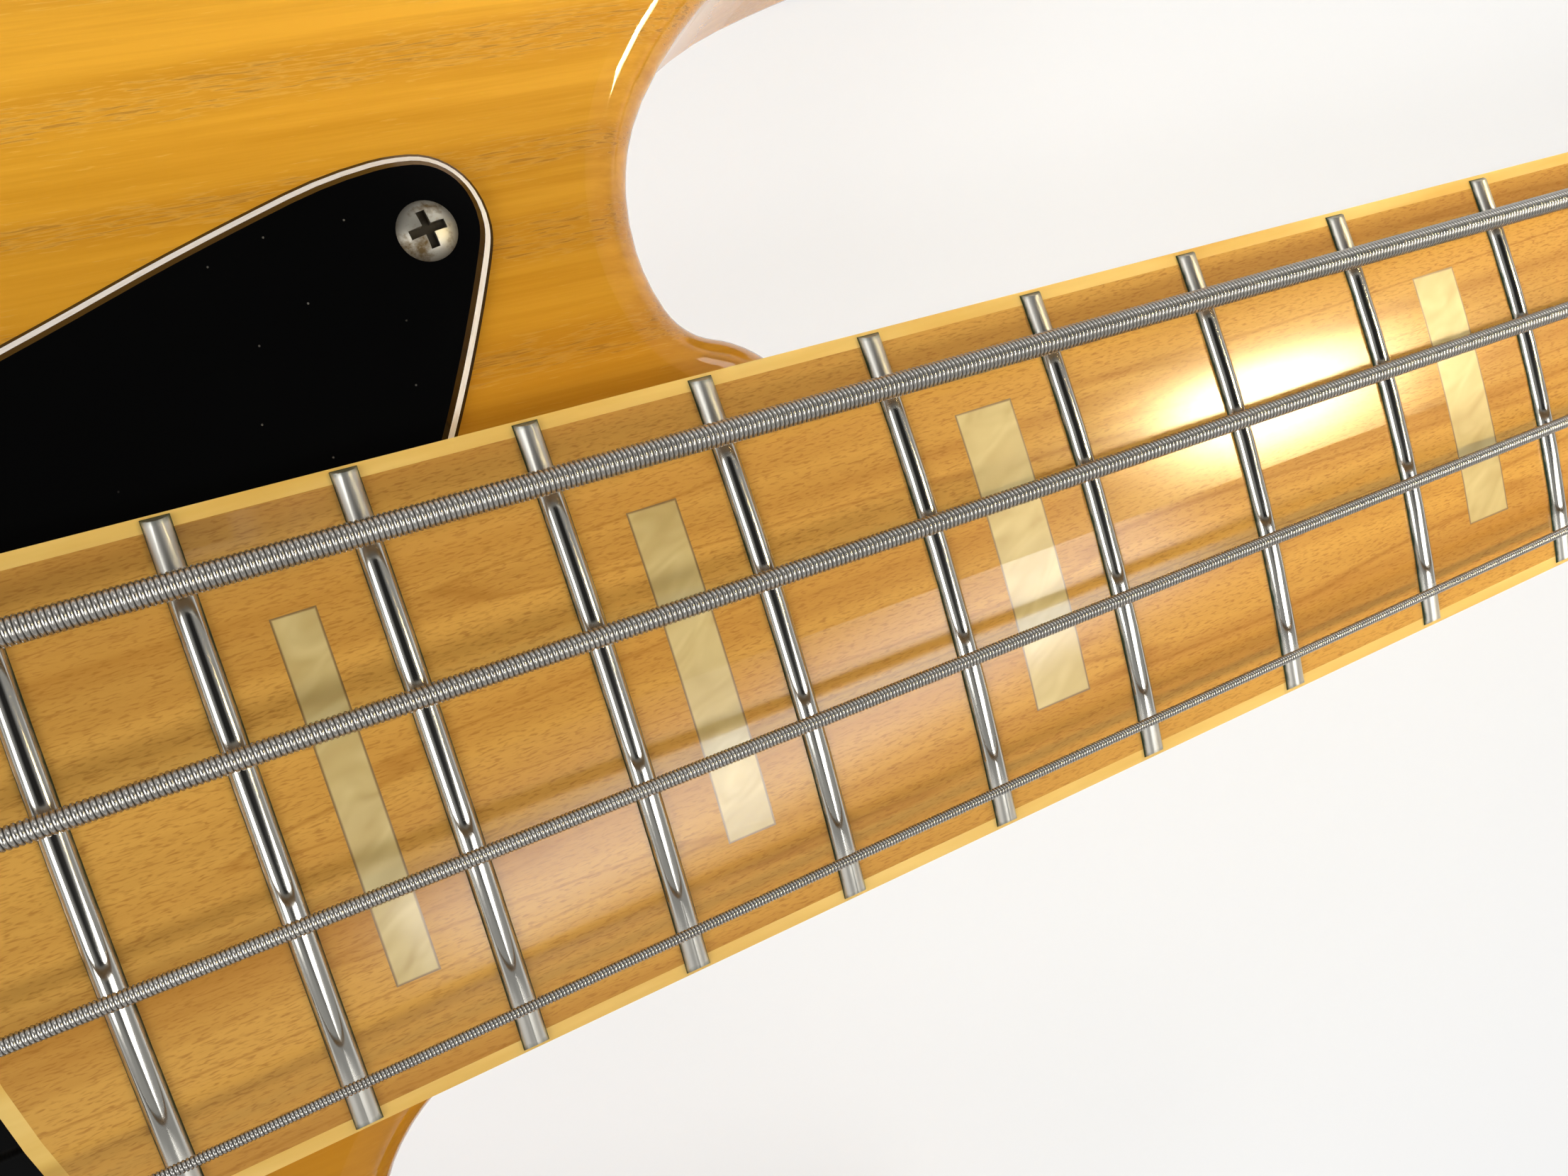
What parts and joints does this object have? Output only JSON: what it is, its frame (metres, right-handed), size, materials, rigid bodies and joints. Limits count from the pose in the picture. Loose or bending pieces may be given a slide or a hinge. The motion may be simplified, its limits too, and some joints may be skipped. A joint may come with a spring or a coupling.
{
  "type": "electric bass guitar",
  "caption": "Solid-body electric bass guitar with bolted neck, bound and block-inlaid fingerboard, layered black pickguard, single-coil pickups and turning tuners, knobs and bridge saddles.",
  "frame": {"origin": "seat of the tail strap button on the body's rim, on the centre line at half the body's thickness", "axes": "+X along the neck to the headstock, +Y to the low-string side, +Z out of the face towards the strings"},
  "size_m": [1.192, 0.3423, 0.0687],
  "materials": {
    "body": "clear gloss lacquer over ash",
    "bridge_pickup_cover": "moulded",
    "bridge_plate": "polished",
    "bridge_screws": "polished",
    "control_nuts": "polished",
    "control_plate": "polished",
    "cover_screws": "tarnished nickel plate",
    "fingerboard": "aged clear gloss lacquer over maple",
    "fingerboard_binding": "polished aged cream celluloid",
    "frets": "worn nickel silver",
    "intonation_screw_1": "plated",
    "intonation_screw_2": "plated",
    "intonation_screw_3": "plated",
    "intonation_screw_4": "plated",
    "intonation_springs": "plain",
    "jack_tip_spring": "plain",
    "neck": "aged clear gloss lacquer over maple",
    "neck_pickup_cover": "moulded",
    "neck_plate": "polished",
    "neck_screws": "polished",
    "nut": "polished bone",
    "output_jack": "polished",
    "pickguard_base_ply": "cut edge",
    "pickguard_core_ply": "cut edge",
    "pickguard_top_ply": "polished",
    "pickup_coils": "enamelled copper wire",
    "pickup_flatwork": "vulcanised fibre",
    "pickup_foam": "open foam",
    "pickup_magnets": "bare cast magnet",
    "pickup_screws": "polished",
    "position_blocks": "polished pearloid",
    "potentiometers": "plain",
    "saddle_1": "plated",
    "saddle_2": "plated",
    "saddle_3": "plated",
    "saddle_4": "plated",
    "side_dots": "polished",
    "strap_buttons": "polished",
    "string_a": "roundwound steel",
    "string_d": "roundwound steel",
    "string_e": "roundwound steel",
    "string_g": "roundwound steel",
    "string_retainer": "polished",
    "tone_knob": "moulded",
    "truss_rod": "plain",
    "tuner_ferrules": "polished",
    "tuner_key_a": "polished",
    "tuner_key_d": "polished",
    "tuner_key_e": "polished",
    "tuner_key_g": "polished",
    "tuner_plate_screws": "polished",
    "tuner_plates": "polished",
    "tuner_post_a": "polished",
    "tuner_post_d": "polished",
    "tuner_post_e": "polished",
    "tuner_post_g": "polished",
    "volume_knob_bridge": "moulded",
    "volume_knob_neck": "moulded",
    "wiring": "insulated wire"
  },
  "bodies": {
    "instrument": {"body": "body", "bridge_pickup_cover": "bridge_pickup_cover", "bridge_plate": "bridge_plate", "bridge_screws": "bridge_screws", "control_nuts": "control_nuts", "control_plate": "control_plate", "cover_screws": "cover_screws", "fingerboard": "fingerboard", "fingerboard_binding": "fingerboard_binding", "frets": "frets", "intonation_springs": "intonation_springs", "jack_tip_spring": "jack_tip_spring", "neck": "neck", "neck_pickup_cover": "neck_pickup_cover", "neck_plate": "neck_plate", "neck_screws": "neck_screws", "nut": "nut", "output_jack": "output_jack", "pickguard_base_ply": "pickguard_base_ply", "pickguard_core_ply": "pickguard_core_ply", "pickguard_top_ply": "pickguard_top_ply", "pickup_coils": "pickup_coils", "pickup_flatwork": "pickup_flatwork", "pickup_foam": "pickup_foam", "pickup_magnets": "pickup_magnets", "pickup_screws": "pickup_screws", "position_blocks": "position_blocks", "potentiometers": "potentiometers", "side_dots": "side_dots", "strap_buttons": "strap_buttons", "string_a": "string_a", "string_d": "string_d", "string_e": "string_e", "string_g": "string_g", "string_retainer": "string_retainer", "truss_rod": "truss_rod", "tuner_ferrules": "tuner_ferrules", "tuner_plate_screws": "tuner_plate_screws", "tuner_plates": "tuner_plates", "wiring": "wiring"},
    "key_e": {"tuner_key_e": "tuner_key_e"},
    "post_e": {"tuner_post_e": "tuner_post_e"},
    "key_a": {"tuner_key_a": "tuner_key_a"},
    "post_a": {"tuner_post_a": "tuner_post_a"},
    "key_d": {"tuner_key_d": "tuner_key_d"},
    "post_d": {"tuner_post_d": "tuner_post_d"},
    "key_g": {"tuner_key_g": "tuner_key_g"},
    "post_g": {"tuner_post_g": "tuner_post_g"},
    "volume_knob_neck_body": {"volume_knob_neck": "volume_knob_neck"},
    "volume_knob_bridge_body": {"volume_knob_bridge": "volume_knob_bridge"},
    "tone_knob_body": {"tone_knob": "tone_knob"},
    "saddle_1_body": {"saddle_1": "saddle_1"},
    "intonation_screw_1_body": {"intonation_screw_1": "intonation_screw_1"},
    "saddle_2_body": {"saddle_2": "saddle_2"},
    "intonation_screw_2_body": {"intonation_screw_2": "intonation_screw_2"},
    "saddle_3_body": {"saddle_3": "saddle_3"},
    "intonation_screw_3_body": {"intonation_screw_3": "intonation_screw_3"},
    "saddle_4_body": {"saddle_4": "saddle_4"},
    "intonation_screw_4_body": {"intonation_screw_4": "intonation_screw_4"}
  },
  "joints": [
    {"name": "key_turn_e", "type": "hinge", "parent": "instrument", "child": "key_e", "pos_m": [1.00224, 0.02114, -0.002], "axis": [0, 1, 0], "continuous": true},
    {"name": "post_turn_e", "type": "hinge", "parent": "instrument", "child": "post_e", "pos_m": [0.99074, 0.02114, 0], "axis": [0, 0, 1], "continuous": true},
    {"name": "key_turn_a", "type": "hinge", "parent": "instrument", "child": "key_a", "pos_m": [1.04415, 0.01187, -0.002], "axis": [0, 1, 0], "continuous": true},
    {"name": "post_turn_a", "type": "hinge", "parent": "instrument", "child": "post_a", "pos_m": [1.03265, 0.01187, 0], "axis": [0, 0, 1], "continuous": true},
    {"name": "key_turn_d", "type": "hinge", "parent": "instrument", "child": "key_d", "pos_m": [1.08606, 0.00359, -0.002], "axis": [0, 1, 0], "continuous": true},
    {"name": "post_turn_d", "type": "hinge", "parent": "instrument", "child": "post_d", "pos_m": [1.07456, 0.00359, 0], "axis": [0, 0, 1], "continuous": true},
    {"name": "key_turn_g", "type": "hinge", "parent": "instrument", "child": "key_g", "pos_m": [1.12797, -0.0037, -0.002], "axis": [0, 1, 0], "continuous": true},
    {"name": "post_turn_g", "type": "hinge", "parent": "instrument", "child": "post_g", "pos_m": [1.11647, -0.0037, 0], "axis": [0, 0, 1], "continuous": true},
    {"name": "volume_knob_neck_turn", "type": "hinge", "parent": "instrument", "child": "volume_knob_neck_body", "pos_m": [0.15188, -0.10735, 0.022], "axis": [0, 0, 1], "range_deg": [0, 300]},
    {"name": "volume_knob_bridge_turn", "type": "hinge", "parent": "instrument", "child": "volume_knob_bridge_body", "pos_m": [0.11896, -0.10505, 0.022], "axis": [0, 0, 1], "range_deg": [0, 300]},
    {"name": "tone_knob_turn", "type": "hinge", "parent": "instrument", "child": "tone_knob_body", "pos_m": [0.08604, -0.10274, 0.022], "axis": [0, 0, 1], "range_deg": [0, 300]},
    {"name": "saddle_1_slide", "type": "slide", "parent": "instrument", "child": "saddle_1_body", "axis": [1, 0, 0], "range_m": [0, 0.008], "deforming": ["intonation_springs"]},
    {"name": "intonation_screw_1_turn", "type": "hinge", "parent": "instrument", "child": "intonation_screw_1_body", "pos_m": [0.052, 0.02495, 0.033], "axis": [1, 0, 0], "range_deg": [-3600, 0]},
    {"name": "saddle_2_slide", "type": "slide", "parent": "instrument", "child": "saddle_2_body", "axis": [1, 0, 0], "range_m": [0, 0.008], "deforming": ["intonation_springs"]},
    {"name": "intonation_screw_2_turn", "type": "hinge", "parent": "instrument", "child": "intonation_screw_2_body", "pos_m": [0.052, 0.00545, 0.03412], "axis": [1, 0, 0], "range_deg": [-3600, 0]},
    {"name": "saddle_3_slide", "type": "slide", "parent": "instrument", "child": "saddle_3_body", "axis": [1, 0, 0], "range_m": [0, 0.008], "deforming": ["intonation_springs"]},
    {"name": "intonation_screw_3_turn", "type": "hinge", "parent": "instrument", "child": "intonation_screw_3_body", "pos_m": [0.052, -0.01405, 0.03412], "axis": [1, 0, 0], "range_deg": [-3600, 0]},
    {"name": "saddle_4_slide", "type": "slide", "parent": "instrument", "child": "saddle_4_body", "axis": [1, 0, 0], "range_m": [0, 0.008], "deforming": ["intonation_springs"]},
    {"name": "intonation_screw_4_turn", "type": "hinge", "parent": "instrument", "child": "intonation_screw_4_body", "pos_m": [0.052, -0.03355, 0.03298], "axis": [1, 0, 0], "range_deg": [-3600, 0]}
  ],
  "couplings": [
    {"joint": "post_turn_e", "follows": "key_turn_e", "ratio": -0.05},
    {"joint": "post_turn_a", "follows": "key_turn_a", "ratio": -0.05},
    {"joint": "post_turn_d", "follows": "key_turn_d", "ratio": -0.05},
    {"joint": "post_turn_g", "follows": "key_turn_g", "ratio": -0.05},
    {"joint": "intonation_screw_1_turn", "follows": "saddle_1_slide", "rad_per_m": -7854},
    {"joint": "intonation_screw_2_turn", "follows": "saddle_2_slide", "rad_per_m": -7854},
    {"joint": "intonation_screw_3_turn", "follows": "saddle_3_slide", "rad_per_m": -7854},
    {"joint": "intonation_screw_4_turn", "follows": "saddle_4_slide", "rad_per_m": -7854}
  ]
}
